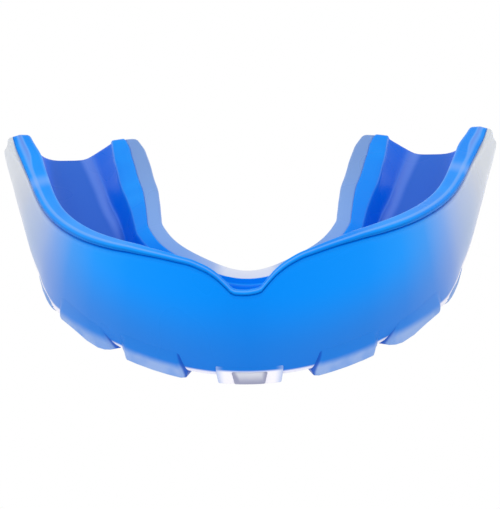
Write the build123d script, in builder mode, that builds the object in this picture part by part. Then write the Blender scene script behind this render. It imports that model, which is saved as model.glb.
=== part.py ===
from build123d import *

import os
from math import cos, hypot, radians, sin

# Boil-and-bite mouthguard for the upper teeth: a soft blue liner bonded inside a clear outer shell,
# with shock pads and a front bridge under the bite. Millimetres, +Z up, front towards -Y.
# The origin is the centre of the box that the guard stands in, at the level it rests on.

# ---- the arch: the middle of the trough, half an ellipse open to the rear ----
ARCH_HALF_WIDTH = 23.9
ARCH_DEPTH = 45.6
REAR_Y = 26.4
STATIONS = (0, 3, 6, 10, 16, 24, 33, 42, 51, 60, 68, 75, 82, 87, 90)

# ---- heights above the surface that the pads stand on, each as (arch angle, mm) ----
SHELL_UNDERSIDE = ((0, 0.9), (50, 0.9), (72, 1.3), (90, 2.0))
LINER_UNDERSIDE = ((0, 2.0), (50, 2.0), (72, 2.4), (90, 3.0))
TROUGH_FLOOR = ((0, 4.6), (45, 4.9), (90, 5.4))
LINGUAL_TOP = ((0, 9.8), (60, 9.7), (78, 9.4), (90, 9.2))
FLANGE_TOP = ((0, 12.5), (3, 12.7), (5, 13.9), (7, 15.1), (10, 16.25), (14, 17.0), (20, 17.2), (27, 16.9),
              (35, 15.9), (45, 14.3), (60, 12.05), (70, 11.1), (80, 10.5), (90, 10.2))
BELLY_HEIGHT = ((0, 5.5), (55, 5.2), (75, 6.0), (90, 7.4))
FLANGE_LEAN = 1.0          # the +X flange stands this much above its mean height, -X below
NOTCH_SHIFT = 0.3          # the notch for the frenum sits this far round towards -X

# ---- distances outwards from the arch, each as (arch angle, mm) ----
FLANGE_OUT = ((0, 4.4), (15, 4.9), (30, 5.7), (45, 6.5), (60, 7.2), (73, 7.7), (81, 8.6), (86, 9.6),
              (90, 10.3))
BELLY_OUT = ((0, 7.2), (15, 7.4), (30, 7.9), (45, 9.0), (58, 9.4), (70, 9.5), (80, 10.3), (86, 11.2),
             (90, 11.8))
BASE_OUT = ((0, 6.6), (12, 6.7), (30, 7.3), (34, 7.8), (38, 8.2), (44, 9.0), (49, 9.7), (54, 9.4),
            (60, 8.8), (70, 8.7), (90, 9.3))
LINGUAL_OUT = ((0, -6.4), (27, -7.1), (40, -6.9), (50, -7.3), (55, -8.1), (61, -9.0), (68, -9.6),
               (76, -9.8), (84, -9.3), (87.5, -8.6), (90, -7.8))
LEDGE_WIDTH = ((0, 0.5), (25, 0.6), (45, 1.5), (60, 2.1), (70, 2.6), (84, 2.4), (90, 2.2))
RIM_WIDTH = ((0, 1.0), (12, 1.0), (20, 1.3), (30, 1.9), (42, 2.3), (60, 2.4), (75, 2.7), (84, 3.1),
             (90, 2.8))
FLOOR_OUT = ((0, 3.1), (25, 3.2), (45, 3.9), (60, 4.0), (75, 4.4), (90, 5.0))
TROUGH_SLOPE = ((0, 1.2), (60, 1.7), (80, 2.6), (90, 3.8))

# ---- walls ----
SHELL_WALL = ((0, 1.1), (45, 1.2), (65, 1.5), (90, 2.0))
LINGUAL_WALL = ((0, 2.4), (40, 2.3), (55, 2.1), (80, 2.1), (90, 1.4))
LINGUAL_TUCK = 0.8         # how far the lingual wall leans out towards its foot
LIP_DROP = ((0, 0.5), (20, 0.6), (35, 0.9), (60, 1.0), (78, 0.8), (90, 0.35))
LIP_OUT = ((0, 0.2), (76, 0.2), (88, 0.7), (90, 0.7))
LIP_WIDTH = ((0, 0.8), (76, 0.8), (88, 1.3), (90, 1.3))
BELLY_BELOW_LIP = 0.9      # the belly stays at least this far under the lip
CREASE_DROP = 0.9          # from the lingual wall's top down to the edge of the trough
FLOOR_ROUND = 0.6
EDGE_ROUND = 0.5

# ---- pads and bridge: each pad as (start angle, end angle, how proud of the shell, top) ----
PADS = {
    "front": (13.0, 29.0, 0.5, 4.3),
    "middle": (30.0, 46.5, 0.7, 4.3),
    "rear": (47.2, 64.0, 0.2, 2.4),
}
PAD_TIP = {"front": 0.05, "middle": 0.6, "rear": 0.3}   # height of the underside at the front end
TIP_RISE = 0.6             # and at the rear end
TIP_PROUD = 0.1            # both ends stand this far out of the shell
TOP_PROUD = 0.25           # share of that distance that is left at a block's top edge
PAD_REACH = 6.0            # how far a pad reaches inwards under the bite
PAD_STEPS = 5
PAD_NOSE = 1.3             # the front end rises to its full thickness over this angle
PAD_TAIL = 1.7             # and the rear end fades over this one
BRIDGE_HALF_ANGLE = 7.0
BRIDGE_STEPS = 3           # sections to each side of the middle one
BRIDGE_TOP = 2.7
BRIDGE_PROUD = 0.35
BRIDGE_REACH = 6.0
INSERT_TOP_WIDTH = 4.8
INSERT_FOOT_WIDTH = 4.0
INSERT_TOP = 1.9
INSERT_REACH = 2.6
INSERT_PROUD = 0.1         # the plug stands this far out of the bridge's face
EMBED = 0.6                # blanks start this deep inside the shell, before it is cut from them


def at(keys, angle):
    """Monotone cubic through (arch angle, value) keys, alike on both sides of the front."""
    angle = min(abs(angle), 90)
    xs = [key[0] for key in keys]
    ys = [key[1] for key in keys]
    slopes = [(ys[i + 1] - ys[i]) / (xs[i + 1] - xs[i]) for i in range(len(xs) - 1)]
    tangents = [0.0]
    for before, after in zip(slopes, slopes[1:]):
        tangents.append(2 * before * after / (before + after) if before * after > 0 else 0.0)
    tangents.append(slopes[-1])
    i = max(k for k in range(len(slopes)) if xs[k] <= angle)
    span = xs[i + 1] - xs[i]
    u = (angle - xs[i]) / span
    value = ys[i] * (2 * u**3 - 3 * u**2 + 1) + ys[i + 1] * (3 * u**2 - 2 * u**3)
    return value + span * (tangents[i] * (u**3 - 2 * u**2 + u) + tangents[i + 1] * (u**3 - u**2))


def section_plane(angle):
    """Upright plane across the arch: local X points outwards, local Y up."""
    a = radians(angle)
    out = (ARCH_DEPTH * sin(a), -ARCH_HALF_WIDTH * cos(a))
    size = hypot(*out)
    out = (out[0] / size, out[1] / size)
    origin = (ARCH_HALF_WIDTH * sin(a), REAR_Y - ARCH_DEPTH * cos(a), 0)
    return Plane(origin=origin, x_dir=(out[0], out[1], 0), z_dir=(out[1], -out[0], 0))


def flange_top(angle):
    return at(FLANGE_TOP, angle + NOTCH_SHIFT) + FLANGE_LEAN * sin(radians(2 * angle))


def shell_face(angle):
    """Base corner, belly and lip corner of the shell's outer face."""
    lip = (at(FLANGE_OUT, angle) + at(LIP_OUT, angle), flange_top(angle) - at(LIP_DROP, angle))
    belly = (at(BELLY_OUT, angle), min(at(BELLY_HEIGHT, angle), lip[1] - BELLY_BELOW_LIP))
    return (at(BASE_OUT, angle), at(SHELL_UNDERSIDE, angle)), belly, lip


def shared_face(angle):
    """The bond between shell and liner on the outer wall, from its foot to the lip."""
    base, belly, lip = shell_face(angle)
    wall = at(SHELL_WALL, angle)
    foot = (base[0] - wall, at(LINER_UNDERSIDE, angle))
    return foot, (belly[0] - wall, belly[1]), (lip[0] - at(LIP_WIDTH, angle), lip[1])


def shared_lingual(angle):
    """The bond between shell and liner on the lingual wall, foot and top."""
    top = at(LINGUAL_OUT, angle) + at(LINGUAL_WALL, angle)
    return (top + LINGUAL_TUCK, at(LINER_UNDERSIDE, angle)), (top, at(LINGUAL_TOP, angle))


def liner_section(angle):
    foot, belly, lip = shared_face(angle)
    lingual_foot, lingual_top = shared_lingual(angle)
    rim_out = at(FLANGE_OUT, angle)
    rim_in = rim_out - at(RIM_WIDTH, angle)
    top = flange_top(angle)
    floor = at(TROUGH_FLOOR, angle)
    crease = (lingual_top[0] + at(LEDGE_WIDTH, angle), lingual_top[1] - CREASE_DROP)
    shoulder_out = (rim_out, (top + lip[1]) / 2)
    shoulder_in = (rim_in, top - EDGE_ROUND)
    floor_out = (at(FLOOR_OUT, angle), floor + FLOOR_ROUND)
    floor_in = (crease[0] + at(TROUGH_SLOPE, angle), floor + FLOOR_ROUND)
    floor_mid = ((floor_out[0] + floor_in[0]) / 2, floor)
    with BuildSketch(section_plane(angle)) as profile:
        with BuildLine():
            Spline(foot, belly, lip)
            Line(lip, shoulder_out)
            ThreePointArc(shoulder_out, ((rim_out + rim_in) / 2, top), shoulder_in)
            Line(shoulder_in, floor_out)
            ThreePointArc(floor_out, floor_mid, floor_in)
            Line(floor_in, crease)
            Line(crease, lingual_top)
            Line(lingual_top, lingual_foot)
            Line(lingual_foot, foot)
        make_face()
    return profile.sketch.face()


def shell_section(angle):
    foot, inner_belly, inner_lip = shared_face(angle)
    lingual_foot, lingual_top = shared_lingual(angle)
    base, belly, lip = shell_face(angle)
    inner = at(LINGUAL_OUT, angle)
    heel = (inner + LINGUAL_TUCK, base[1] + EDGE_ROUND)
    with BuildSketch(section_plane(angle)) as profile:
        with BuildLine():
            Spline(base, belly, lip)
            Line(lip, inner_lip)
            Spline(inner_lip, inner_belly, foot)
            Line(foot, lingual_foot)
            Line(lingual_foot, lingual_top)
            Line(lingual_top, (inner + EDGE_ROUND, lingual_top[1]))
            Line((inner + EDGE_ROUND, lingual_top[1]), (inner, lingual_top[1] - EDGE_ROUND))
            Line((inner, lingual_top[1] - EDGE_ROUND), heel)
            Line(heel, (heel[0] + EDGE_ROUND, base[1]))
            Line((heel[0] + EDGE_ROUND, base[1]), base)
        make_face()
    return profile.sketch.face()


def blank_section(angle, proud, bottom, top, reach):
    """Section of a block on the shell's lower edge, its back edge inside the shell's wall."""
    base, belly, _ = shell_face(angle)
    rise = (top - base[1]) / (belly[1] - base[1])
    face = base[0] + (belly[0] - base[0]) * sin(radians(90) * rise)
    core = base[1] + EMBED
    with BuildSketch(section_plane(angle)) as profile:
        with BuildLine():
            Polyline(
                (base[0] + proud, bottom),
                (face + TOP_PROUD * proud, top),
                (face - EMBED, top),
                (base[0] - EMBED, core),
                (base[0] - reach, core),
                (base[0] - reach, bottom),
                close=True,
            )
        make_face()
    return profile.sketch.face()


def pad_blank(start, end, proud, top, tip, side):
    """Sections of one shock pad, thinner at both ends than along the rest of it."""
    full = [start + PAD_NOSE + (end - PAD_TAIL - start - PAD_NOSE) * i / PAD_STEPS
            for i in range(PAD_STEPS + 1)]
    sections = [blank_section(side * start, TIP_PROUD, tip, top, PAD_REACH)]
    sections += [blank_section(side * angle, proud, 0.0, top, PAD_REACH) for angle in full]
    sections += [blank_section(side * end, TIP_PROUD, TIP_RISE, top - TIP_RISE, PAD_REACH)]
    return sections


def around(stations):
    """Angles of both sides of the arch, from the -X rear end to the +X rear end."""
    return [-angle for angle in reversed(stations[1:])] + list(stations)


os.makedirs("parts", exist_ok=True)

# ---- soft liner: the trough that takes the teeth ----
with BuildPart() as gel_liner:
    loft(sections=[liner_section(angle) for angle in around(STATIONS)])
gel_liner.part.label = "gel_liner"
export_step(gel_liner.part, "parts/gel_liner.step")

# ---- clear shell around the liner ----
with BuildPart() as outer_shell:
    loft(sections=[shell_section(angle) for angle in around(STATIONS)])
outer_shell.part.label = "outer_shell"
export_step(outer_shell.part, "parts/outer_shell.step")

# ---- bridge under the front teeth, with its plug ----
front_y = REAR_Y - ARCH_DEPTH - at(BASE_OUT, 0) - BRIDGE_PROUD
with BuildPart() as bridge_insert:
    with BuildSketch(Plane.XZ.offset(-front_y + INSERT_PROUD)) as trapezoid:
        with BuildLine():
            Polyline(
                (-INSERT_FOOT_WIDTH / 2, 0),
                (INSERT_FOOT_WIDTH / 2, 0),
                (INSERT_TOP_WIDTH / 2, INSERT_TOP),
                (-INSERT_TOP_WIDTH / 2, INSERT_TOP),
                close=True,
            )
        make_face()
    extrude(amount=-INSERT_REACH - INSERT_PROUD)
    add(outer_shell.part, mode=Mode.SUBTRACT)
bridge_insert.part.label = "bridge_insert"
export_step(bridge_insert.part, "parts/bridge_insert.step")

with BuildPart() as front_bridge:
    loft(sections=[
        blank_section(BRIDGE_HALF_ANGLE * i / BRIDGE_STEPS, BRIDGE_PROUD, 0, BRIDGE_TOP, BRIDGE_REACH)
        for i in range(-BRIDGE_STEPS, BRIDGE_STEPS + 1)
    ])
    add(outer_shell.part, mode=Mode.SUBTRACT)
    add(bridge_insert.part, mode=Mode.SUBTRACT)
front_bridge.part.label = "front_bridge"
export_step(front_bridge.part, "parts/front_bridge.step")

# ---- shock pads, three on each leg ----
for place, (start, end, proud, top) in PADS.items():
    for hand, side in (("right", 1), ("left", -1)):
        with BuildPart() as pad:
            loft(sections=pad_blank(start, end, proud, top, PAD_TIP[place], side), ruled=True)
            add(outer_shell.part, mode=Mode.SUBTRACT)
        name = f"{place}_pad_{hand}"
        pad.part.label = name
        export_step(pad.part, f"parts/{name}.step")
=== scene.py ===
import math

import bmesh
import bpy
import numpy as np
from mathutils import Matrix, Vector


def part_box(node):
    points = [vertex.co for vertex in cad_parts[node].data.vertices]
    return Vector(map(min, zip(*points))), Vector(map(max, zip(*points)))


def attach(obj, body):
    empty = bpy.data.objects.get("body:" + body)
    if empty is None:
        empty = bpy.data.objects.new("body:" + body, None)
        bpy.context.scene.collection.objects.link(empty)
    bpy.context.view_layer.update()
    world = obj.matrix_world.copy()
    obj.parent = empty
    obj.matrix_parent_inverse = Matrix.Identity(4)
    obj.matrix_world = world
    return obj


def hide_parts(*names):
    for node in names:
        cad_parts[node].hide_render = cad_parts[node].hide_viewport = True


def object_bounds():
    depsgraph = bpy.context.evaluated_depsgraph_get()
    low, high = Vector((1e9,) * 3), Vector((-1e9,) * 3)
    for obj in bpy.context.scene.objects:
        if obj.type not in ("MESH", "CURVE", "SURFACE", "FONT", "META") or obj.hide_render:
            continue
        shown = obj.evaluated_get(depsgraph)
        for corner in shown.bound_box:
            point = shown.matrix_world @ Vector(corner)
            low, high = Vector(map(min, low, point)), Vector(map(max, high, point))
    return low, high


# A boil-and-bite mouthguard: a blue gel liner in a clear shell, with clear shock pads and a bridge
# under the bite. Lengths are in millimetres until they reach a mesh, which is in metres.
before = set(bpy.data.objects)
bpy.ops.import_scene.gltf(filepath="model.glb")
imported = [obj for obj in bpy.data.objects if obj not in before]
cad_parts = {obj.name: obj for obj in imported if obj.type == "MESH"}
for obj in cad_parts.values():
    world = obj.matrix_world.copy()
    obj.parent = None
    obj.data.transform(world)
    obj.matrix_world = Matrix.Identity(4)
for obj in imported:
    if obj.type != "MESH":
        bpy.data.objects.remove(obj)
CAD_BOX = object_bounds()
BODY = "root"
MM = 0.001

# ---- the arch, as in the CAD: half an ellipse open to the rear ----
# An arch angle is 0 at the front and 90 at the rear ends, in degrees, below zero towards -X.
ARCH_HALF_WIDTH = 23.9
ARCH_DEPTH = 45.6
REAR_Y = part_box("gel_liner")[1].y / MM
ARCH_STEP = 0.8            # degrees between sections
LAST_PLAIN_ANGLE = 88.0    # the sections beyond it round off the ends
END_ROUND = 1.1            # the rear ends are rounded off by this
END_TURNS = (0, 15, 30, 45, 60, 75, 90)    # where their sections lie, in degrees round the rounding

# ---- heights, each as (arch angle, mm) ----
SHELL_UNDERSIDE = ((0, 0.9), (50, 0.9), (72, 1.3), (90, 2.0))
LINER_UNDERSIDE = ((0, 2.0), (50, 2.0), (72, 2.4), (90, 3.0))
TROUGH_FLOOR = ((0, 4.6), (45, 4.9), (90, 5.4))
LINGUAL_TOP = ((0, 9.8), (60, 9.7), (78, 9.4), (90, 9.2))
FLANGE_TOP = ((0, 12.5), (3, 12.7), (5, 13.9), (7, 15.1), (10, 16.25), (14, 17.0), (20, 17.2), (27, 16.9),
              (35, 15.9), (45, 14.3), (60, 12.05), (70, 11.1), (80, 10.5), (90, 10.2))
BELLY_HEIGHT = ((0, 5.5), (55, 5.2), (75, 6.0), (90, 7.4))
BELLY_BELOW_LIP = 0.9      # the belly stays at least this far under the lip
FLANGE_LEAN = 1.0          # the +X flange stands this much above its mean height, -X below
NOTCH_SHIFT = 0.3          # the notch for the frenum sits this far round towards -X

# ---- distances outwards from the arch, each as (arch angle, mm) ----
FLANGE_OUT = ((0, 4.4), (15, 4.9), (30, 5.7), (45, 6.5), (60, 7.2), (73, 7.7), (81, 8.6), (86, 9.6),
              (90, 10.3))
BELLY_OUT = ((0, 7.2), (15, 7.4), (30, 7.9), (45, 9.0), (58, 9.4), (70, 9.5), (80, 10.3), (86, 11.2),
             (90, 11.8))
BASE_OUT = ((0, 6.6), (12, 6.7), (30, 7.3), (34, 7.8), (38, 8.2), (44, 9.0), (49, 9.7), (54, 9.4),
            (60, 8.8), (70, 8.7), (90, 9.3))
LINGUAL_OUT = ((0, -6.4), (27, -7.1), (40, -6.9), (50, -7.3), (55, -8.1), (61, -9.0), (68, -9.6),
               (76, -9.6), (84, -9.1), (87.5, -8.4), (90, -7.7))
LEDGE_WIDTH = ((0, 0.5), (25, 0.6), (45, 1.5), (60, 2.1), (70, 2.6), (84, 2.5), (90, 1.9))
RIM_WIDTH = ((0, 1.0), (12, 1.0), (20, 1.3), (30, 1.9), (42, 2.3), (60, 2.4), (75, 2.7), (84, 3.1),
             (90, 2.8))
FLOOR_OUT = ((0, 3.1), (25, 3.2), (45, 3.9), (60, 4.0), (75, 4.4), (90, 5.0))
TROUGH_SLOPE = ((0, 1.2), (60, 1.7), (80, 2.6), (90, 3.8))

# ---- walls ----
SHELL_WALL = ((0, 1.1), (45, 1.2), (65, 1.5), (90, 2.0))
LIP_DROP = ((0, 0.5), (20, 0.6), (35, 0.9), (60, 1.0), (78, 0.8), (90, 0.35))
LIP_OUT = ((0, 0.2), (76, 0.2), (88, 0.7), (90, 0.7))
LIP_WIDTH = ((0, 0.8), (76, 0.8), (88, 1.3), (90, 1.3))
LINGUAL_WALL = ((0, 2.4), (40, 2.3), (55, 2.1), (80, 2.3), (90, 1.8))
LINGUAL_TUCK = 0.8         # how far the lingual wall leans out towards its foot
LIP_GAP = 0.1              # the liner leaves the lip this far under its top
LIP_FACE = 0.7             # the lip's face is upright from this far under its top, twice as far at the tips
LIP_FACE_OUT = 0.02
LIP_EDGE = (0.1, 0.12)     # the lip's edge is bevelled this far in and down
LIP_BLUNT = 0.25           # and this much further down at the tips
LIP_SOFT = 0.4             # its roundings grow by this at the tips
CREASE_DROP = ((0, 0.9), (70, 0.8), (90, 0.3))
OVERLAP = 0.25             # the shell reaches this far into the liner, so that no air gap shows

# ---- the bead along the flange's top ----
BLUNT_ARC = (82, 89)       # towards the tips the bead and the lip get rounder over these angles
BEAD_SWELL = 0.12          # the bead stands this far out of the flange's line, just above the lip
BEAD_SWELL_ARC = (80, 88)  # over these angles it sinks back to that line
GROOVE_RISE = 0.25         # the groove under the bead, as a share of the way from the lip to the top
SHOULDER_OUT = 0.02
SHOULDER_DROP = 0.12
SHOULDER_BLUNT = (0.35, 0.1)    # the shoulder moves this far in and down where the bead is blunt
SHINE_PLACE = 0.25         # the painted highlight along the bead, as a share of the bead's width from outside
SHINE_SHIFT = 0.15         # it moves inwards by this share over the angles in SHINE_ARC
SHINE_ARC = (76, 84)
SHINE_WIDTH = 0.17
SHINE_CROWN = 0.03
CREST_PLACE = 0.25         # the inner end of the bead's crest, as a share of its width from inside
CREST_DROP = 0.02
INNER_SHOULDER = (0.05, 0.08)    # the inner shoulder lies this far out and this far under the top
INNER_BLUNT = 0.2
INNER_EDGE = 0.6           # the bead's inner face is upright from this far under the top
INNER_FOOT = 1.8           # down to this far under it
RIM_DRAW = 1.5             # at the tips the bead narrows by this many times the draw

# ---- the trough and its ledge ----
STREAK_ARC = (50, 68)      # the painted reflection beside the trough's floor comes up over these angles
FLOOR_EDGE = 1.3           # the level floor starts this far out from the foot of the slope
SLOPE_FOOT = 0.1           # the slope's foot stands this far above the floor
SLOPE_BEND = (0.55, 0.45)  # a bend in the slope, as shares of its run and of its rise
CREASE_FACE = (0.12, 0.45)    # the slope's last stretch: this far out from the crease and down
LEDGE_STEP = (0.2, 0.12)      # the ledge starts this far in from the crease and up
LEDGE_BACK = (0.1, 0.05)      # and ends this far out from the bond's top and up
LEDGE_FACE = 0.6              # the liner's lingual side is upright over this
SHELL_TOP = (0.1, 0.12)       # the shell's wall tucks in this far out under the ledge and down

# ---- tones: where a surface is painted lighter (above zero) or darker (below zero): painted highlights, a painted reflection and painted shade, and on the clear pieces the milky veil ----
# painted shade in the groove under the bead and on the bead's outer shoulder
GROOVE_TONE = -0.9
SHOULDER_TONE = -0.3
# painted highlights: the shine along the bead's top, the bead's inner shoulder and the crease's edge
SHINE_TONE = 0.9
SHINE_TIP_TONE = 0.5       # added to the shine at the tips
INNER_TONE = 0.55
# painted reflection of the bright surroundings on the trough's slope
STREAK_TONE = 2.0
CREASE_TONE = 0.5
BASE_TONE = -0.25          # painted shade along the shell's foot, under the bridge and up to the front pads
BASE_TONE_ARC = (14, 18)
# painted shade along the lip's edge under the bead, fading out over LIP_TONE_ARC
LIP_TONE = -0.35
LIP_TONE_ARC = (60, 76)
LINGUAL_TONE = 1.0         # on the shell, the milky veil of the lingual wall
BRIDGE_EDGE_TONE = 0.6
INSERT_EDGE_TONE = -0.5

# ---- pads and bridge: each pad as (start angle, end angle, how proud, top) ----
PADS = {
    "front": (13.0, 29.0, 0.5, 4.3),
    "middle": (30.0, 46.5, 0.7, 4.3),
    "rear": (47.2, 61.0, 0.08, 2.2),
}
PAD_RUN = {"front": 0.3, "middle": 3.6, "rear": 1.3}    # the foot comes down over this angle
PAD_LEAN = {"front": 1.5, "middle": 3.9, "rear": 1.5}   # the nose leans back by this angle
PAD_REACH = 6.0            # how far a pad reaches inwards under the bite
PAD_EMBED = 0.25           # the top edge lies this deep in the shell
PAD_NOSE = 1.3             # degrees over which the nose swells to full thickness
PAD_TAIL = 1.7             # degrees over which the tail runs out
PAD_CLEAR = 0.5            # degrees left free between the last plain section and the tail
PAD_STOPS = (0.0, 0.03, 0.35, 0.7, 1.0, 1.12, 1.5, 2.2, 3.5, 6.0, 9.0, 12.0)    # sections, in noses
TAIL_STOPS = (0.0, 0.15, 0.4, 0.7, 0.9, 1.0)    # sections, as shares of the tail
PAD_SHADE = (0.15, 0.75)   # the painted shade of the nose's facet fades out between these shares of it
PAD_THIN = 0.02            # the foot is at least this thick
PAD_SKIN = 0.01            # and the face stands at least this far out
FACE_SHARE = 0.55          # the face swells most at this share of the top
TOP_EDGE = 0.45            # the top edge is bevelled over this
TOP_PROUD = 0.02
KNEE_ARC = (36, 45)        # over these angles the foot's outer corner turns into a slope
KNEE_RISE = 0.95           # which ends this much higher on the face
KNEE_IN = 1.4              # and this much further in under the foot
FOOT_EDGE = 0.15
FOOT_IN = 0.05
BACK_RISE = 0.4            # the back of a pad reaches this far up into the shell
BACK_IN = 0.9
BRIDGE_HALF_ANGLE = 7.0
BRIDGE_TAPER = 0.6
BRIDGE_TOP = 2.7
BRIDGE_ROOT = 0.3          # the bridge's top runs this much further up the shell
BRIDGE_PROUD = 0.35
BRIDGE_REACH = 6.0
BRIDGE_STEPS = 9
INSERT_TOP_ANGLE = 3.6
INSERT_FOOT_ANGLE = 3.0
INSERT_TOP = 1.9
INSERT_PROUD = 0.12
INSERT_REACH = 2.6
INSERT_FOOT = 0.03
INSERT_BEVEL = (0.15, 0.09)
INSERT_STEPS = 7
BLOCK_EDGE = 0.25          # degrees over which a block's side is rounded off
BLOCK_SIDE = (0.97, 0.93)  # the side's outline, as shares of the full width and height


def at(keys, angle):
    """Monotone cubic through (arch angle, value) keys, alike on both sides of the front."""
    angle = min(abs(angle), 90.0)
    xs = [key[0] for key in keys]
    ys = [key[1] for key in keys]
    slopes = [(ys[i + 1] - ys[i]) / (xs[i + 1] - xs[i]) for i in range(len(xs) - 1)]
    tangents = [0.0]
    for before, after in zip(slopes, slopes[1:]):
        tangents.append(2 * before * after / (before + after) if before * after > 0 else 0.0)
    tangents.append(slopes[-1])
    i = max(k for k in range(len(slopes)) if xs[k] <= angle)
    span = xs[i + 1] - xs[i]
    u = (angle - xs[i]) / span
    value = ys[i] * (2 * u**3 - 3 * u**2 + 1) + ys[i + 1] * (3 * u**2 - 2 * u**3)
    return value + span * (tangents[i] * (u**3 - 2 * u**2 + u) + tangents[i + 1] * (u**3 - u**2))


def smooth(low, high, value):
    """From 0 at low to 1 at high, level at both."""
    u = min(1.0, max(0.0, (value - low) / (high - low)))
    return u * u * (3 - 2 * u)


def place(angles, points):
    """Points (outwards, up) of a section, each put across the arch at its angle. Returns mm."""
    a = np.radians(angles)
    across = np.column_stack([ARCH_DEPTH * np.sin(a), -ARCH_HALF_WIDTH * np.cos(a)])
    across /= np.linalg.norm(across, axis=1, keepdims=True)
    origin = np.column_stack([ARCH_HALF_WIDTH * np.sin(a), REAR_Y - ARCH_DEPTH * np.cos(a)])
    return np.column_stack([origin + points[:, :1] * across, points[:, 1]])


def rounded(corners):
    """Closed outline of (outwards, up, tone) through corners, each rounded by a parabola.

    A corner is (outwards, up, how far the rounding reaches, points on it, tone).
    """
    outline = []
    count = len(corners)
    spots = [np.array([corner[0], corner[1], corner[4]]) for corner in corners]
    for i in range(count):
        here, before, after = spots[i], spots[i - 1], spots[(i + 1) % count]
        radius, steps = corners[i][2:4]
        start = here + (before - here) * min(0.5, radius / np.linalg.norm((before - here)[:2]))
        end = here + (after - here) * min(0.5, radius / np.linalg.norm((after - here)[:2]))
        for u in np.linspace(0, 1, steps):
            outline.append(start * (1 - u) ** 2 + here * 2 * u * (1 - u) + end * u**2)
    return np.array(outline)


def skin(name, rings, tones):
    """Closed mesh through rings of points in mm, with a tone at every point."""
    size = len(rings[0])
    mesh_data = bmesh.new()
    verts = [[mesh_data.verts.new(point * MM) for point in ring] for ring in rings]
    for near, far in zip(verts, verts[1:]):
        for i in range(size):
            j = (i + 1) % size
            mesh_data.faces.new((near[i], near[j], far[j], far[i])).smooth = True
    mesh_data.faces.new(verts[0][::-1])
    mesh_data.faces.new(verts[-1])
    bmesh.ops.recalc_face_normals(mesh_data, faces=mesh_data.faces)
    mesh = bpy.data.meshes.new(name)
    mesh_data.to_mesh(mesh)
    mesh_data.free()
    layer = mesh.attributes.new("tone", "FLOAT", "POINT")
    layer.data.foreach_set("value", np.concatenate(tones).astype(np.float32))
    piece = bpy.data.objects.new(name, mesh)
    bpy.context.scene.collection.objects.link(piece)
    return piece


def swept(name, section):
    """Closed mesh through the sections along the whole arch."""
    angles = whole_arch()
    outlines = [rounded(section(angle)) for angle in angles]
    rings = [place(np.full(len(outline), angle), outline) for angle, outline in zip(angles, outlines)]
    return skin(name, rings, [outline[:, 2] for outline in outlines])


def whole_arch():
    """Angles from the -X rear end to the +X rear end, close together where the ends are rounded."""
    span = math.degrees(END_ROUND / ARCH_DEPTH)
    ends = [90 - span * (1 - math.sin(math.radians(turn))) for turn in END_TURNS]
    middle = list(np.arange(-LAST_PLAIN_ANGLE, LAST_PLAIN_ANGLE + 0.01, ARCH_STEP))
    return [-end for end in reversed(ends)] + middle + ends


def drawn_in(angle):
    """How far the sides are drawn in at this angle, to round the rear ends."""
    left = math.radians(90 - abs(angle)) * ARCH_DEPTH
    return END_ROUND - math.sqrt(max(0.0, END_ROUND**2 - max(0.0, END_ROUND - left) ** 2))


def flange_top(angle):
    return at(FLANGE_TOP, angle + NOTCH_SHIFT) + FLANGE_LEAN * math.sin(math.radians(2 * angle))


def shell_face(angle):
    """Base corner, belly and lip corner of the shell's outer face."""
    draw = drawn_in(angle)
    lip_out = at(FLANGE_OUT, angle) + at(LIP_OUT, angle) - draw
    lip = (lip_out, flange_top(angle) - at(LIP_DROP, angle) - draw)
    belly = (at(BELLY_OUT, angle) - draw, min(at(BELLY_HEIGHT, angle), lip[1] - BELLY_BELOW_LIP))
    return (at(BASE_OUT, angle) - draw, at(SHELL_UNDERSIDE, angle) + draw), belly, lip


def bond(angle):
    """The liner's outer side: foot, belly and lip, then its lingual top and foot."""
    draw = drawn_in(angle)
    base, belly, lip = shell_face(angle)
    wall = at(SHELL_WALL, angle)
    under = at(LINER_UNDERSIDE, angle) + 0.5 * draw
    lingual = at(LINGUAL_OUT, angle) + at(LINGUAL_WALL, angle)
    return ((base[0] - wall, under), (belly[0] - wall, belly[1]), (lip[0] - at(LIP_WIDTH, angle), lip[1]),
            (lingual, at(LINGUAL_TOP, angle) - draw), (lingual + LINGUAL_TUCK, under))


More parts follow.
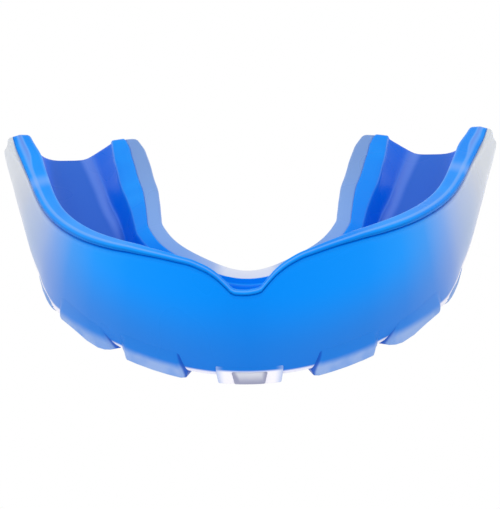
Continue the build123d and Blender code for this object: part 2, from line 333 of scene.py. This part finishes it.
def liner_section(angle):
    """Corners of the liner: its bonded side, the bead, the trough, the ledge, the lingual side."""
    turn = abs(angle)
    draw = drawn_in(angle)
    foot, belly, lip, lingual_top, lingual_foot = bond(angle)
    rim_out = at(FLANGE_OUT, angle) - draw
    rim_in = rim_out - at(RIM_WIDTH, angle) + RIM_DRAW * draw
    width = rim_out - rim_in
    top = flange_top(angle) - draw
    groove = lip[1] + GROOVE_RISE * (top - lip[1])
    swell = BEAD_SWELL * (1 - smooth(*BEAD_SWELL_ARC, turn))
    blunt = smooth(*BLUNT_ARC, turn)
    shoulder = (rim_out + SHOULDER_OUT - SHOULDER_BLUNT[0] * blunt,
                top - SHOULDER_DROP - SHOULDER_BLUNT[1] * blunt)
    near_tip = smooth(*SHINE_ARC, turn)
    shine = SHINE_PLACE + SHINE_SHIFT * near_tip
    floor = at(TROUGH_FLOOR, angle)
    slope = at(TROUGH_SLOPE, angle)
    crease = (lingual_top[0] + at(LEDGE_WIDTH, angle), lingual_top[1] - at(CREASE_DROP, angle))
    bend = (crease[0] + SLOPE_BEND[0] * slope, floor + SLOPE_BEND[1] * (crease[1] - floor))
    return [
        (*foot, 0.5, 4, 0.0),
        (*belly, 3.0, 8, 0.0),
        (lip[0], lip[1] - LIP_GAP, 0.2, 4, 0.0),
        (rim_out + swell, groove, 0.3, 5, GROOVE_TONE),
        (*shoulder, 0.3, 6, SHOULDER_TONE),
        (rim_out - shine * width, top + SHINE_CROWN, 0.1, 3, SHINE_TONE + SHINE_TIP_TONE * near_tip),
        (rim_out - (shine + SHINE_WIDTH) * width, top, 0.1, 3, 0.0),
        (rim_in + CREST_PLACE * width, top - CREST_DROP, 0.1, 3, 0.0),
        (rim_in + INNER_SHOULDER[0] + INNER_BLUNT * blunt, top - INNER_SHOULDER[1], 0.3, 5, INNER_TONE),
        (rim_in, top - INNER_EDGE, 0.2, 4, 0.0),
        (rim_in, top - INNER_FOOT, 0.6, 4, 0.0),
        (at(FLOOR_OUT, angle), floor, 2.4, 10, 0.0),
        (crease[0] + slope + FLOOR_EDGE, floor, 0.4, 4, 0.0),
        (crease[0] + slope, floor + SLOPE_FOOT, 1.8, 8, STREAK_TONE * smooth(*STREAK_ARC, turn)),
        (*bend, 1.5, 7, 0.0),
        (crease[0] + CREASE_FACE[0], crease[1] - CREASE_FACE[1], 0.1, 3, 0.0),
        (*crease, 0.25, 5, CREASE_TONE),
        (crease[0] - LEDGE_STEP[0], crease[1] + LEDGE_STEP[1], 0.05, 3, 0.0),
        (lingual_top[0] + LEDGE_BACK[0], lingual_top[1] + LEDGE_BACK[1], 0.3, 5, 0.0),
        (lingual_top[0], lingual_top[1] - LEDGE_FACE, 0.25, 3, 0.0),
        (*lingual_foot, 0.5, 4, 0.0),
    ]


def shell_section(angle):
    """Corners of the shell: its outer face and lip, the bond with the liner, the lingual wall."""
    turn = abs(angle)
    foot, inner_belly, inner_lip, lingual_top, lingual_foot = bond(angle)
    base, belly, lip = shell_face(angle)
    inner = at(LINGUAL_OUT, angle) + drawn_in(angle)
    blunt = smooth(*BLUNT_ARC, turn)
    base_tone = BASE_TONE * (1 - smooth(*BASE_TONE_ARC, turn))
    lip_tone = LIP_TONE * (1 - smooth(*LIP_TONE_ARC, turn))
    soft = LIP_SOFT * blunt
    return [
        (*base, 0.6, 5, base_tone),
        (*belly, 4.0, 10, 0.0),
        (lip[0] + LIP_FACE_OUT, lip[1] - LIP_FACE - LIP_FACE * blunt, 0.3 + soft, 5, 0.0),
        (lip[0], lip[1] - LIP_EDGE[1] - LIP_BLUNT * blunt, 0.2 + soft, 5, lip_tone),
        (lip[0] - LIP_EDGE[0] - soft, lip[1] + LIP_EDGE[0] * blunt, 0.3, 4, 0.0),
        (inner_lip[0] - OVERLAP, inner_lip[1], 0.3, 4, 0.0),
        (inner_belly[0] - OVERLAP, inner_belly[1], 3.0, 8, 0.0),
        (foot[0] - OVERLAP, foot[1] + OVERLAP, 0.5, 4, 0.0),
        (lingual_foot[0] + OVERLAP, lingual_foot[1] + OVERLAP, 0.5, 4, 0.0),
        (lingual_top[0] + SHELL_TOP[0], lingual_top[1] - SHELL_TOP[1], 0.25, 4, LINGUAL_TONE),
        (inner, lingual_top[1], 0.8, 7, LINGUAL_TONE),
        (inner + LINGUAL_TUCK, base[1], 0.7, 6, LINGUAL_TONE),
    ]


def shell_out(angle, height):
    """How far out the shell's outer face stands at a height."""
    corners = shell_section(angle)
    face_points = corners[0][3] + corners[1][3]
    face = rounded(corners)[:face_points]
    return float(np.interp(height, face[:, 1], face[:, 0]))


def pad_ring(angle, foot, proud, reach, top, shade):
    """Outline of a pad or bridge: against the shell's face at the top, its foot under the shell."""
    base = at(BASE_OUT, angle)
    under = at(SHELL_UNDERSIDE, angle)
    foot_height = under - foot
    swell = FACE_SHARE * top
    knee = smooth(*KNEE_ARC, abs(angle))
    return rounded([
        (shell_out(angle, top) - PAD_EMBED, top, 0.15, 3, 0.0),
        (shell_out(angle, top - TOP_EDGE) + TOP_PROUD, top - TOP_EDGE, 0.4, 4, shade),
        (shell_out(angle, swell) + proud, swell, 1.0, 6, shade),
        (base + proud, foot_height + FOOT_EDGE + KNEE_RISE * knee, 0.35, 5, shade),
        (base + proud - FOOT_IN - KNEE_IN * knee, foot_height, 0.35, 4, shade),
        (base - reach, foot_height, 0.4, 4, 0.0),
        (base - reach, under + BACK_RISE, 0.15, 3, 0.0),
        (base - BACK_IN, under + BACK_RISE, 0.15, 3, 0.0),
    ])


def pad(name, side, start, end, proud, top, lean, run):
    """A pad whose nose is a facet leaning back as it climbs, and whose tail runs out into the shell."""
    length = end - start
    marks = [stop * PAD_NOSE for stop in PAD_STOPS if stop * PAD_NOSE < length - PAD_TAIL - PAD_CLEAR]
    marks += [length - PAD_TAIL * (1 - u) for u in TAIL_STOPS]
    under = at(SHELL_UNDERSIDE, start)
    rings = []
    tones = []
    for mark in marks:
        nose = min(1.0, mark / PAD_NOSE)
        tail = min(1.0, (length - mark) / PAD_TAIL)
        swell = min(nose, smooth(0, 1, tail))
        angle = start + mark
        shade = smooth(*PAD_SHADE, nose) - 1.0
        depth = at(SHELL_UNDERSIDE, angle) * min(1.0, mark / run, tail)
        outline = pad_ring(angle, max(PAD_THIN, depth), proud * swell + PAD_SKIN, PAD_REACH, top, shade)
        climb = np.clip((outline[:, 1] - under) / (top - under), 0, 1)
        drift = lean * (1 - (1 - climb) ** 2) * (1 - smooth(0, length - PAD_TAIL, mark))
        rings.append(place(side * (angle + drift), outline))
        tones.append(outline[:, 2])
    return skin(name, rings, tones)


def bridge_ring(angle):
    """Outline of the bridge, which reaches down to the surface that the guard stands on."""
    foot = at(SHELL_UNDERSIDE, 0)
    return pad_ring(angle, foot, BRIDGE_PROUD, BRIDGE_REACH, BRIDGE_TOP + BRIDGE_ROOT, 0.0)


def insert_ring(angle):
    """Outline of the insert, a little proud of the bridge's face."""
    proud = BRIDGE_PROUD + INSERT_PROUD
    foot_face = at(BASE_OUT, angle) + proud
    top_face = shell_out(angle, FACE_SHARE * BRIDGE_TOP) + proud
    return rounded([
        (top_face, INSERT_TOP, 0.15, 4, 0.0),
        (foot_face, INSERT_FOOT + INSERT_BEVEL[1], 0.15, 4, INSERT_EDGE_TONE),
        (foot_face - INSERT_BEVEL[0], INSERT_FOOT, 0.1, 3, INSERT_EDGE_TONE),
        (foot_face - INSERT_REACH, INSERT_FOOT, 0.3, 3, 0.0),
        (foot_face - INSERT_REACH, INSERT_TOP, 0.3, 3, 0.0),
    ])


def block(name, outline_at, half_top, half_foot, top, steps, edge_tone):
    """The bridge or its insert: a short run of the arch whose sides draw in towards the foot."""
    rings = []
    tones = []
    inset = BLOCK_EDGE / half_top
    spread = [-1.0] + list(np.linspace(-1 + inset, 1 - inset, steps)) + [1.0]
    for k, share in enumerate(spread):
        outline = outline_at(share * half_top)
        if k in (1, len(spread) - 2):
            outline[:, 2] = edge_tone
        if k in (0, len(spread) - 1):
            middle = outline[:, :2].mean(axis=0)
            outline[:, :2] = middle + (outline[:, :2] - middle) * np.array(BLOCK_SIDE)
            outline[:, 2] = edge_tone
        half = half_foot + (half_top - half_foot) * np.clip(outline[:, 1] / top, 0, 1)
        rings.append(place(share * half, outline))
        tones.append(outline[:, 2])
    return skin(name, rings, tones)


# ---- materials ----
# The moulded surface: grain sizes and the bump's depth in mm, and how far the roughness drifts.
GLOSS_GRAIN = 12.0
GLOSS_DRIFT = 0.04
BUMP_GRAIN = 5.0
BUMP_DEPTH = 0.1
GEL_ROUGHNESS = 0.3
GEL_BUMP = 0.12
LINER_SPECULAR = 0.05
SHELL_SPECULAR = 0.06
SHELL_IOR = 1.35
INSERT_ROUGHNESS = 0.35
INSERT_BUMP = 0.3
LINER_GRAIN = 11.0
WALL_GRAIN = 14.0
HAZE_GRAIN = 4.0
INSERT_GRAIN = 3.0
# The part of a noise's range that a colour or the gloss is spread over.
GLOSS_NOISE = (0.3, 0.7)
LINER_NOISE = (0.35, 0.65)
HAZE_NOISE = (0.42, 0.62)


def tint(red, green, blue):
    """A display colour, 0 to 255 each, as the linear colour that a shader takes."""
    channels = [value / 255 for value in (red, green, blue)]
    return (*[v / 12.92 if v <= 0.04045 else ((v + 0.055) / 1.055) ** 2.4 for v in channels], 1.0)


class Paint:
    """A Principled material and short ways to add nodes in front of it."""

    def __init__(self, name):
        self.material = bpy.data.materials.new(name)
        self.material.use_nodes = True
        self.tree = self.material.node_tree
        self.shader = self.tree.nodes["Principled BSDF"]
        self.place = self.add("ShaderNodeTexCoord").outputs["Object"]

    def add(self, kind, **values):
        node = self.tree.nodes.new(kind)
        for key, value in values.items():
            setattr(node, key, value)
        return node

    def link(self, source, socket):
        self.tree.links.new(source, socket)

    def sum(self, operation, first, second=None):
        node = self.add("ShaderNodeMath", operation=operation)
        for value, socket in zip((first, second), node.inputs):
            if isinstance(value, (int, float)):
                socket.default_value = value
            elif value is not None:
                self.link(value, socket)
        return node.outputs[0]

    def spread(self, value, low, high, bottom=0.0, top=1.0):
        """From bottom where the value is low to top where it is high, level at both."""
        node = self.add("ShaderNodeMapRange", interpolation_type="SMOOTHSTEP")
        self.link(value, node.inputs["Value"])
        for key, amount in (("From Min", low), ("From Max", high), ("To Min", bottom), ("To Max", top)):
            if isinstance(amount, (int, float)):
                node.inputs[key].default_value = amount
            else:
                self.link(amount, node.inputs[key])
        return node.outputs["Result"]

    def blend(self, share, first, second):
        """The first colour, or the second where the share is 1."""
        node = self.add("ShaderNodeMix", data_type="RGBA")
        for value, key in ((share, "Factor"), (first, 6), (second, 7)):
            socket = node.inputs[key]
            if isinstance(value, (int, float, tuple)):
                socket.default_value = value
            else:
                self.link(value, socket)
        return node.outputs[2]

    def noise(self, size, detail=2.0):
        """Soft noise with features of about this many millimetres."""
        node = self.add("ShaderNodeTexNoise")
        node.inputs["Scale"].default_value = 1 / (size * MM)
        node.inputs["Detail"].default_value = detail
        self.link(self.place, node.inputs["Vector"])
        return node.outputs["Fac"]

    def ramp(self, value, stops):
        node = self.add("ShaderNodeValToRGB")
        node.color_ramp.interpolation = "LINEAR"
        while len(node.color_ramp.elements) < len(stops):
            node.color_ramp.elements.new(0.5)
        for element, (spot, colour) in zip(node.color_ramp.elements, stops):
            element.position = spot
            element.color = colour
        self.link(value, node.inputs[0])
        return node.outputs["Color"]

    def arch(self):
        """The arch angle as a share of 90 degrees, and the height in millimetres."""
        split = self.add("ShaderNodeSeparateXYZ")
        self.link(self.place, split.inputs[0])
        across = self.sum("DIVIDE", self.sum("ABSOLUTE", split.outputs["X"]), ARCH_HALF_WIDTH * MM)
        along = self.sum("SUBTRACT", REAR_Y * MM, split.outputs["Y"])
        along = self.sum("DIVIDE", along, ARCH_DEPTH * MM)
        angle = self.sum("DIVIDE", self.sum("ARCTAN2", across, along), math.pi / 2)
        return angle, self.sum("DIVIDE", split.outputs["Z"], MM)

    def tone(self):
        return self.add("ShaderNodeAttribute", attribute_name="tone").outputs["Fac"]

    def finish(self, roughness, bump):
        """A soft waviness of the moulded surface, in the gloss and in the relief."""
        gloss = self.noise(GLOSS_GRAIN, 1.0)
        low, high = roughness - GLOSS_DRIFT, roughness + GLOSS_DRIFT
        self.link(self.spread(gloss, *GLOSS_NOISE, low, high), self.shader.inputs["Roughness"])
        node = self.add("ShaderNodeBump")
        node.inputs["Strength"].default_value = bump
        node.inputs["Distance"].default_value = BUMP_DEPTH * MM
        self.link(self.noise(BUMP_GRAIN, 1.0), node.inputs["Height"])
        self.link(node.outputs[0], self.shader.inputs["Normal"])
        return self.material


# Colours of the liner.
AZURE = tint(2, 136, 244)
BRIGHT = tint(8, 148, 250)
NOTCH_BLUE = tint(12, 164, 255)
# painted shade inside the trough: INDIGO on its floor with a painted lavender reflection in it, COBALT on
# its faces
INDIGO = tint(44, 104, 206)
COBALT = tint(0, 104, 226)
# painted reflection colour, for the streak beside the trough's floor and the bead's tips
LAVENDER = tint(96, 138, 228)
# painted highlight colour for the lit edges of the bead and the crease
SKY = tint(120, 185, 255)
# painted shade for the groove under the bead
GROOVE_SHADE = tint(0, 118, 214)
PINCH = tint(160, 190, 244)
# Colours of the clear pieces.
VEIL = tint(122, 165, 230)
FRONT_RIM = tint(236, 238, 246)
PALE = tint(206, 214, 232)
CRYSTAL = tint(250, 247, 253)
ICE = tint(132, 168, 226)
HAZE = tint(152, 180, 228)
# painted shade on the clear pieces: the pad noses, the lip's edge and the shell's foot
SHADE_BLUE = tint(22, 84, 188)
CLOUD_DARK = tint(205, 207, 218)
CLOUD_LIGHT = tint(216, 217, 226)
INSERT_EDGE = tint(150, 152, 178)
# The shell's wall from the front to the rear end, near the lip and near the foot. Each stop is a share of
# the arch and the colour there: the blue behind the wall fades into its own milky tint. In front the stops
# near the foot are darker, partly as painted shade from the light above and partly as the blue seen through
# deeper gel.
WALL_HIGH = (
    (0.0, tint(0, 137, 244)), (0.378, tint(8, 145, 249)), (0.492, tint(26, 152, 252)),
    (0.583, tint(60, 158, 249)), (0.655, tint(120, 172, 244)), (0.703, tint(156, 187, 240)),
    (0.757, tint(180, 199, 236)), (0.813, tint(195, 209, 236)), (0.855, tint(212, 219, 232)),
    (0.912, tint(228, 232, 236)),
)
WALL_LOW_SHADED = (
    (0.0, tint(26, 122, 220)), (0.378, tint(44, 127, 219)), (0.492, tint(58, 132, 222)),
    (0.583, tint(86, 144, 226)), (0.655, tint(130, 163, 226)), (0.703, tint(162, 183, 226)),
    (0.757, tint(178, 196, 226)), (0.813, tint(193, 206, 228)), (0.855, tint(208, 215, 229)),
    (0.912, tint(226, 230, 235)),
)

# Where one colour gives way to another, each as (none of it, all of it): shares of the arch in
# the names that end in _ARC, millimetres of height in those that end in _HEIGHT.
LEG_ARC = (0.2, 0.34)
NOTCH_ARC = (0.14, 0.08)
NOTCH_HEIGHT = (12.2, 11.4)
# where the painted shade inside the trough comes in, on its faces and then on its floor
FACE_HEIGHT = (9.1, 8.0)
FLOOR_HEIGHT = (6.2, 5.5)
LIGHT_HEIGHT = (7.6, 8.2)
PINCH_FRONT_ARC = (0.8, 0.83)
PINCH_REAR_ARC = (0.86, 0.83)
PINCH_HEIGHT = (9.8, 10.1)
PINCH_STRENGTH = 0.3
WALL_HEIGHT = (13.0, 3.5)
FOOT_ARC = (0.5, 0.85)
FOOT_RISE = 1.0            # the clear foot is this much higher at the rear
FRONT_RIM_HEIGHT = (9.2, 9.6)
FRONT_RIM_ARC = (0.16, 0.08)
FRONT_RIM_SHARE = 0.6
VEIL_ARC = (0.1, 0.3)
CLEAR_ARC = (0.4, 0.9)     # the clear pieces let more light through towards the rear
CLEAR_WEIGHT = (0.02, 0.2)
DRIFT = 0.03               # how far the wall's colours wander along the arch
# The tones that bring each colour in, again as (none of it, all of it).
LIGHT_TONES = (0.1, 0.8)
LIGHT_SHARE = 0.6
STREAK_TONES = (0.2, 1.8)
GROOVE_TONES = (-0.1, -0.6)
LINGUAL_TONES = (0.05, 0.95)
SHADE_TONES = (-0.05, -0.9)
SHADE_SHARE = 0.9
EDGE_TONES = (-0.05, -0.5)


def liner_paint():
    paint = Paint("gel_liner_blue")
    angle, height = paint.arch()
    mottle = paint.spread(paint.noise(LINER_GRAIN), *LINER_NOISE)
    colour = paint.blend(mottle, AZURE, BRIGHT)
    behind = paint.spread(angle, *LEG_ARC)
    notch = paint.sum("MULTIPLY", paint.spread(angle, *NOTCH_ARC), paint.spread(height, *NOTCH_HEIGHT))
    colour = paint.blend(notch, colour, NOTCH_BLUE)
    # painted shade inside the trough on the legs: its faces darker below the ledge, its floor darker still,
    # with a painted reflection
    face = paint.sum("MULTIPLY", behind, paint.spread(height, *FACE_HEIGHT))
    colour = paint.blend(face, colour, COBALT)
    floor = paint.sum("MULTIPLY", behind, paint.spread(height, *FLOOR_HEIGHT))
    colour = paint.blend(floor, colour, INDIGO)
    tone = paint.tone()
    # painted highlights: positive tones turn sky blue above the ledge
    edges = paint.spread(tone, *LIGHT_TONES, 0.0, LIGHT_SHARE)
    light = paint.sum("MULTIPLY", edges, paint.spread(height, *LIGHT_HEIGHT))
    colour = paint.blend(light, colour, SKY)
    # painted reflection and highlight: the highest tones turn lavender, most of all on the trough's slope
    # and the bead's tips
    colour = paint.blend(paint.spread(tone, *STREAK_TONES), colour, LAVENDER)
    # painted shade: the negative tones of the groove and the shoulder turn deeper blue
    colour = paint.blend(paint.spread(tone, *GROOVE_TONES), colour, GROOVE_SHADE)
    band = paint.spread(angle, *PINCH_FRONT_ARC)
    band = paint.sum("MULTIPLY", band, paint.spread(angle, *PINCH_REAR_ARC))
    pinch = paint.sum("MULTIPLY", band, paint.spread(height, *PINCH_HEIGHT, 0.0, PINCH_STRENGTH))
    colour = paint.blend(pinch, colour, PINCH)
    paint.link(colour, paint.shader.inputs["Base Color"])
    paint.shader.inputs["Specular IOR Level"].default_value = LINER_SPECULAR
    return paint.finish(GEL_ROUGHNESS, GEL_BUMP)


def gel_paint(name, clear_below, fade, clear_tint, haze):
    """Clear gel: it shows the blue behind it in front, and turns milky to the rear and the foot.

    Below clear_below it is the clear tint, clouded with haze, which fades over the height of fade.
    """
    paint = Paint(name)
    angle, height = paint.arch()
    ripple = paint.noise(WALL_GRAIN)
    angle = paint.sum("ADD", angle, paint.sum("MULTIPLY", paint.sum("SUBTRACT", ripple, 0.5), DRIFT))
    high = paint.ramp(angle, WALL_HIGH)
    low = paint.ramp(angle, WALL_LOW_SHADED)
    # darker towards the foot: partly painted shade, partly the blue seen through deeper gel
    colour = paint.blend(paint.spread(height, *WALL_HEIGHT), high, low)
    foot = paint.spread(angle, *FOOT_ARC, clear_below, clear_below + FOOT_RISE)
    clear = paint.spread(height, paint.sum("ADD", foot, fade), foot)
    cloudy = paint.blend(paint.spread(paint.noise(HAZE_GRAIN), *HAZE_NOISE), clear_tint, haze)
    colour = paint.blend(clear, colour, cloudy)
    tone = paint.tone()
    rim = paint.spread(height, *FRONT_RIM_HEIGHT)
    rim = paint.sum("MULTIPLY", rim, paint.spread(angle, *FRONT_RIM_ARC))
    front = paint.blend(FRONT_RIM_SHARE, PALE, paint.blend(rim, VEIL, FRONT_RIM))
    legs = paint.blend(ripple, VEIL, ICE)
    lingual = paint.blend(paint.spread(angle, *VEIL_ARC), front, legs)
    colour = paint.blend(paint.spread(tone, *LINGUAL_TONES), colour, lingual)
    # painted shade: negative tones darken the clear gel towards deep blue
    crease = paint.spread(tone, *SHADE_TONES, 0.0, SHADE_SHARE)
    colour = paint.blend(crease, colour, SHADE_BLUE)
    paint.link(colour, paint.shader.inputs["Base Color"])
    weight = paint.spread(angle, *CLEAR_ARC, *CLEAR_WEIGHT)
    paint.link(weight, paint.shader.inputs["Transmission Weight"])
    paint.shader.inputs["IOR"].default_value = SHELL_IOR
    paint.shader.inputs["Specular IOR Level"].default_value = SHELL_SPECULAR
    return paint.finish(GEL_ROUGHNESS, GEL_BUMP)


def insert_paint():
    paint = Paint("insert_grey")
    mottle = paint.spread(paint.noise(INSERT_GRAIN), *GLOSS_NOISE)
    clouds = paint.blend(mottle, CLOUD_DARK, CLOUD_LIGHT)
    edge = paint.spread(paint.tone(), *EDGE_TONES)
    paint.link(paint.blend(edge, clouds, INSERT_EDGE), paint.shader.inputs["Base Color"])
    return paint.finish(INSERT_ROUGHNESS, INSERT_BUMP)


def add_piece(piece, node, material):
    piece.data.materials.append(material)
    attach(piece, BODY)
    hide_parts(node)


# ---- camera, floor and light ----
CAMERA_DISTANCE = 450.0
CAMERA_ELEVATION = math.radians(30.0)
CAMERA_ROLL = math.radians(-1.45)
CAMERA_TURN = math.radians(0.94)
CAMERA_TARGET = (0.1, -5.1, 7.5)
SENSOR = 36.0
FRAME_HEIGHT = 509         # the image's longer side, which the sensor spans
FOCAL_LENGTH = 3330.0      # in the same unit as FRAME_HEIGHT
FLOOR_HALF = 1500
FLOOR_GAP = 0.05           # the floor lies this far under the guard
FLOOR_GREY = (0.62, 0.62, 0.64, 1)
FLOOR_GLOW = 0.5           # light that the floor sends up, to soften the undersides
SKY_STRENGTH = 0.92
LAMP_POWER = 0.4
# Each lamp as (name, place, size), in metres.
LAMPS = (("top_light", (0.1, 0.1, 0.6), 0.5), ("front_light", (-0.3, -0.5, 0.45), 0.3))
LAMP_TARGET = (0, 0, 0.008)


def make_camera():
    turn, tilt = CAMERA_TURN, CAMERA_ELEVATION
    back = Vector((math.sin(turn) * math.cos(tilt), -math.cos(turn) * math.cos(tilt), math.sin(tilt)))
    side = Vector((math.cos(turn), math.sin(turn), 0))
    up = back.cross(side)
    right = side * math.cos(CAMERA_ROLL) + up * math.sin(CAMERA_ROLL)
    up = up * math.cos(CAMERA_ROLL) - side * math.sin(CAMERA_ROLL)
    camera = bpy.data.objects.new("camera", bpy.data.cameras.new("camera"))
    camera.data.sensor_width = SENSOR
    camera.data.lens = SENSOR * FOCAL_LENGTH / FRAME_HEIGHT
    camera.data.clip_end = 10
    rotation = Matrix((right, up, back)).transposed()
    spot = Vector(CAMERA_TARGET) + back * CAMERA_DISTANCE
    camera.matrix_world = Matrix.Translation(spot * MM) @ rotation.to_4x4()
    bpy.context.scene.collection.objects.link(camera)
    bpy.context.scene.camera = camera


def make_floor():
    """A pale floor that looks plain white, and lights and shades the guard as a grey one does."""
    mesh = bpy.data.meshes.new("floor")
    half = FLOOR_HALF * MM
    low = CAD_BOX[0].z - FLOOR_GAP * MM
    mesh.from_pydata([(-half, -half, low), (half, -half, low), (half, half, low), (-half, half, low)],
                     [], [(0, 1, 2, 3)])
    floor = bpy.data.objects.new("floor", mesh)
    bpy.context.scene.collection.objects.link(floor)
    material = bpy.data.materials.new("floor")
    material.use_nodes = True
    tree = material.node_tree
    shader = tree.nodes["Principled BSDF"]
    shader.inputs["Base Color"].default_value = FLOOR_GREY
    shader.inputs["Roughness"].default_value = 0.9
    shader.inputs["Specular IOR Level"].default_value = 0.0
    shader.inputs["Emission Color"].default_value = (1, 1, 1, 1)
    shader.inputs["Emission Strength"].default_value = FLOOR_GLOW
    glow = tree.nodes.new("ShaderNodeEmission")
    seen = tree.nodes.new("ShaderNodeLightPath")
    mix = tree.nodes.new("ShaderNodeMixShader")
    tree.links.new(seen.outputs["Is Camera Ray"], mix.inputs[0])
    tree.links.new(shader.outputs[0], mix.inputs[1])
    tree.links.new(glow.outputs[0], mix.inputs[2])
    tree.links.new(mix.outputs[0], tree.nodes["Material Output"].inputs["Surface"])
    mesh.materials.append(material)


def make_lamp(name, spot, size):
    data = bpy.data.lights.new(name, "AREA")
    data.shape = "DISK"
    data.size = size
    data.energy = LAMP_POWER
    lamp = bpy.data.objects.new(name, data)
    spot = Vector(spot)
    lamp.location = spot
    lamp.rotation_euler = (Vector(LAMP_TARGET) - spot).to_track_quat("-Z", "Y").to_euler()
    bpy.context.scene.collection.objects.link(lamp)


def make_studio():
    world = bpy.data.worlds.new("studio")
    bpy.context.scene.world = world
    world.use_nodes = True
    background = world.node_tree.nodes["Background"]
    background.inputs[0].default_value = (1, 1, 1, 1)
    background.inputs[1].default_value = SKY_STRENGTH
    for name, spot, size in LAMPS:
        make_lamp(name, spot, size)
    bpy.context.scene.view_settings.view_transform = "Standard"


# ---- the pieces ----
liner = swept("gel_liner_skin", liner_section)
add_piece(liner, "gel_liner", liner_paint())
shell = swept("outer_shell_skin", shell_section)
shell_gel = gel_paint("shell_gel", clear_below=1.4, fade=0.4, clear_tint=CRYSTAL, haze=CRYSTAL)
add_piece(shell, "outer_shell", shell_gel)
pad_gel = gel_paint("pad_gel", clear_below=1.2, fade=1.2, clear_tint=ICE, haze=HAZE)
for label, (start, end, proud, top) in PADS.items():
    for side, direction in (("left", -1), ("right", 1)):
        piece = pad(f"{label}_pad_{side}_skin", direction, start, end, proud, top, PAD_LEAN[label],
                    PAD_RUN[label])
        add_piece(piece, f"{label}_pad_{side}", pad_gel)
bridge = block("front_bridge_skin", bridge_ring, BRIDGE_HALF_ANGLE, BRIDGE_HALF_ANGLE - BRIDGE_TAPER,
               BRIDGE_TOP, BRIDGE_STEPS, BRIDGE_EDGE_TONE)
bridge_gel = gel_paint("bridge_gel", clear_below=1.8, fade=0.4, clear_tint=CRYSTAL, haze=CRYSTAL)
add_piece(bridge, "front_bridge", bridge_gel)
insert = block("bridge_insert_skin", insert_ring, INSERT_TOP_ANGLE, INSERT_FOOT_ANGLE, INSERT_TOP,
               INSERT_STEPS, INSERT_EDGE_TONE)
add_piece(insert, "bridge_insert", insert_paint())

make_camera()
make_floor()
make_studio()
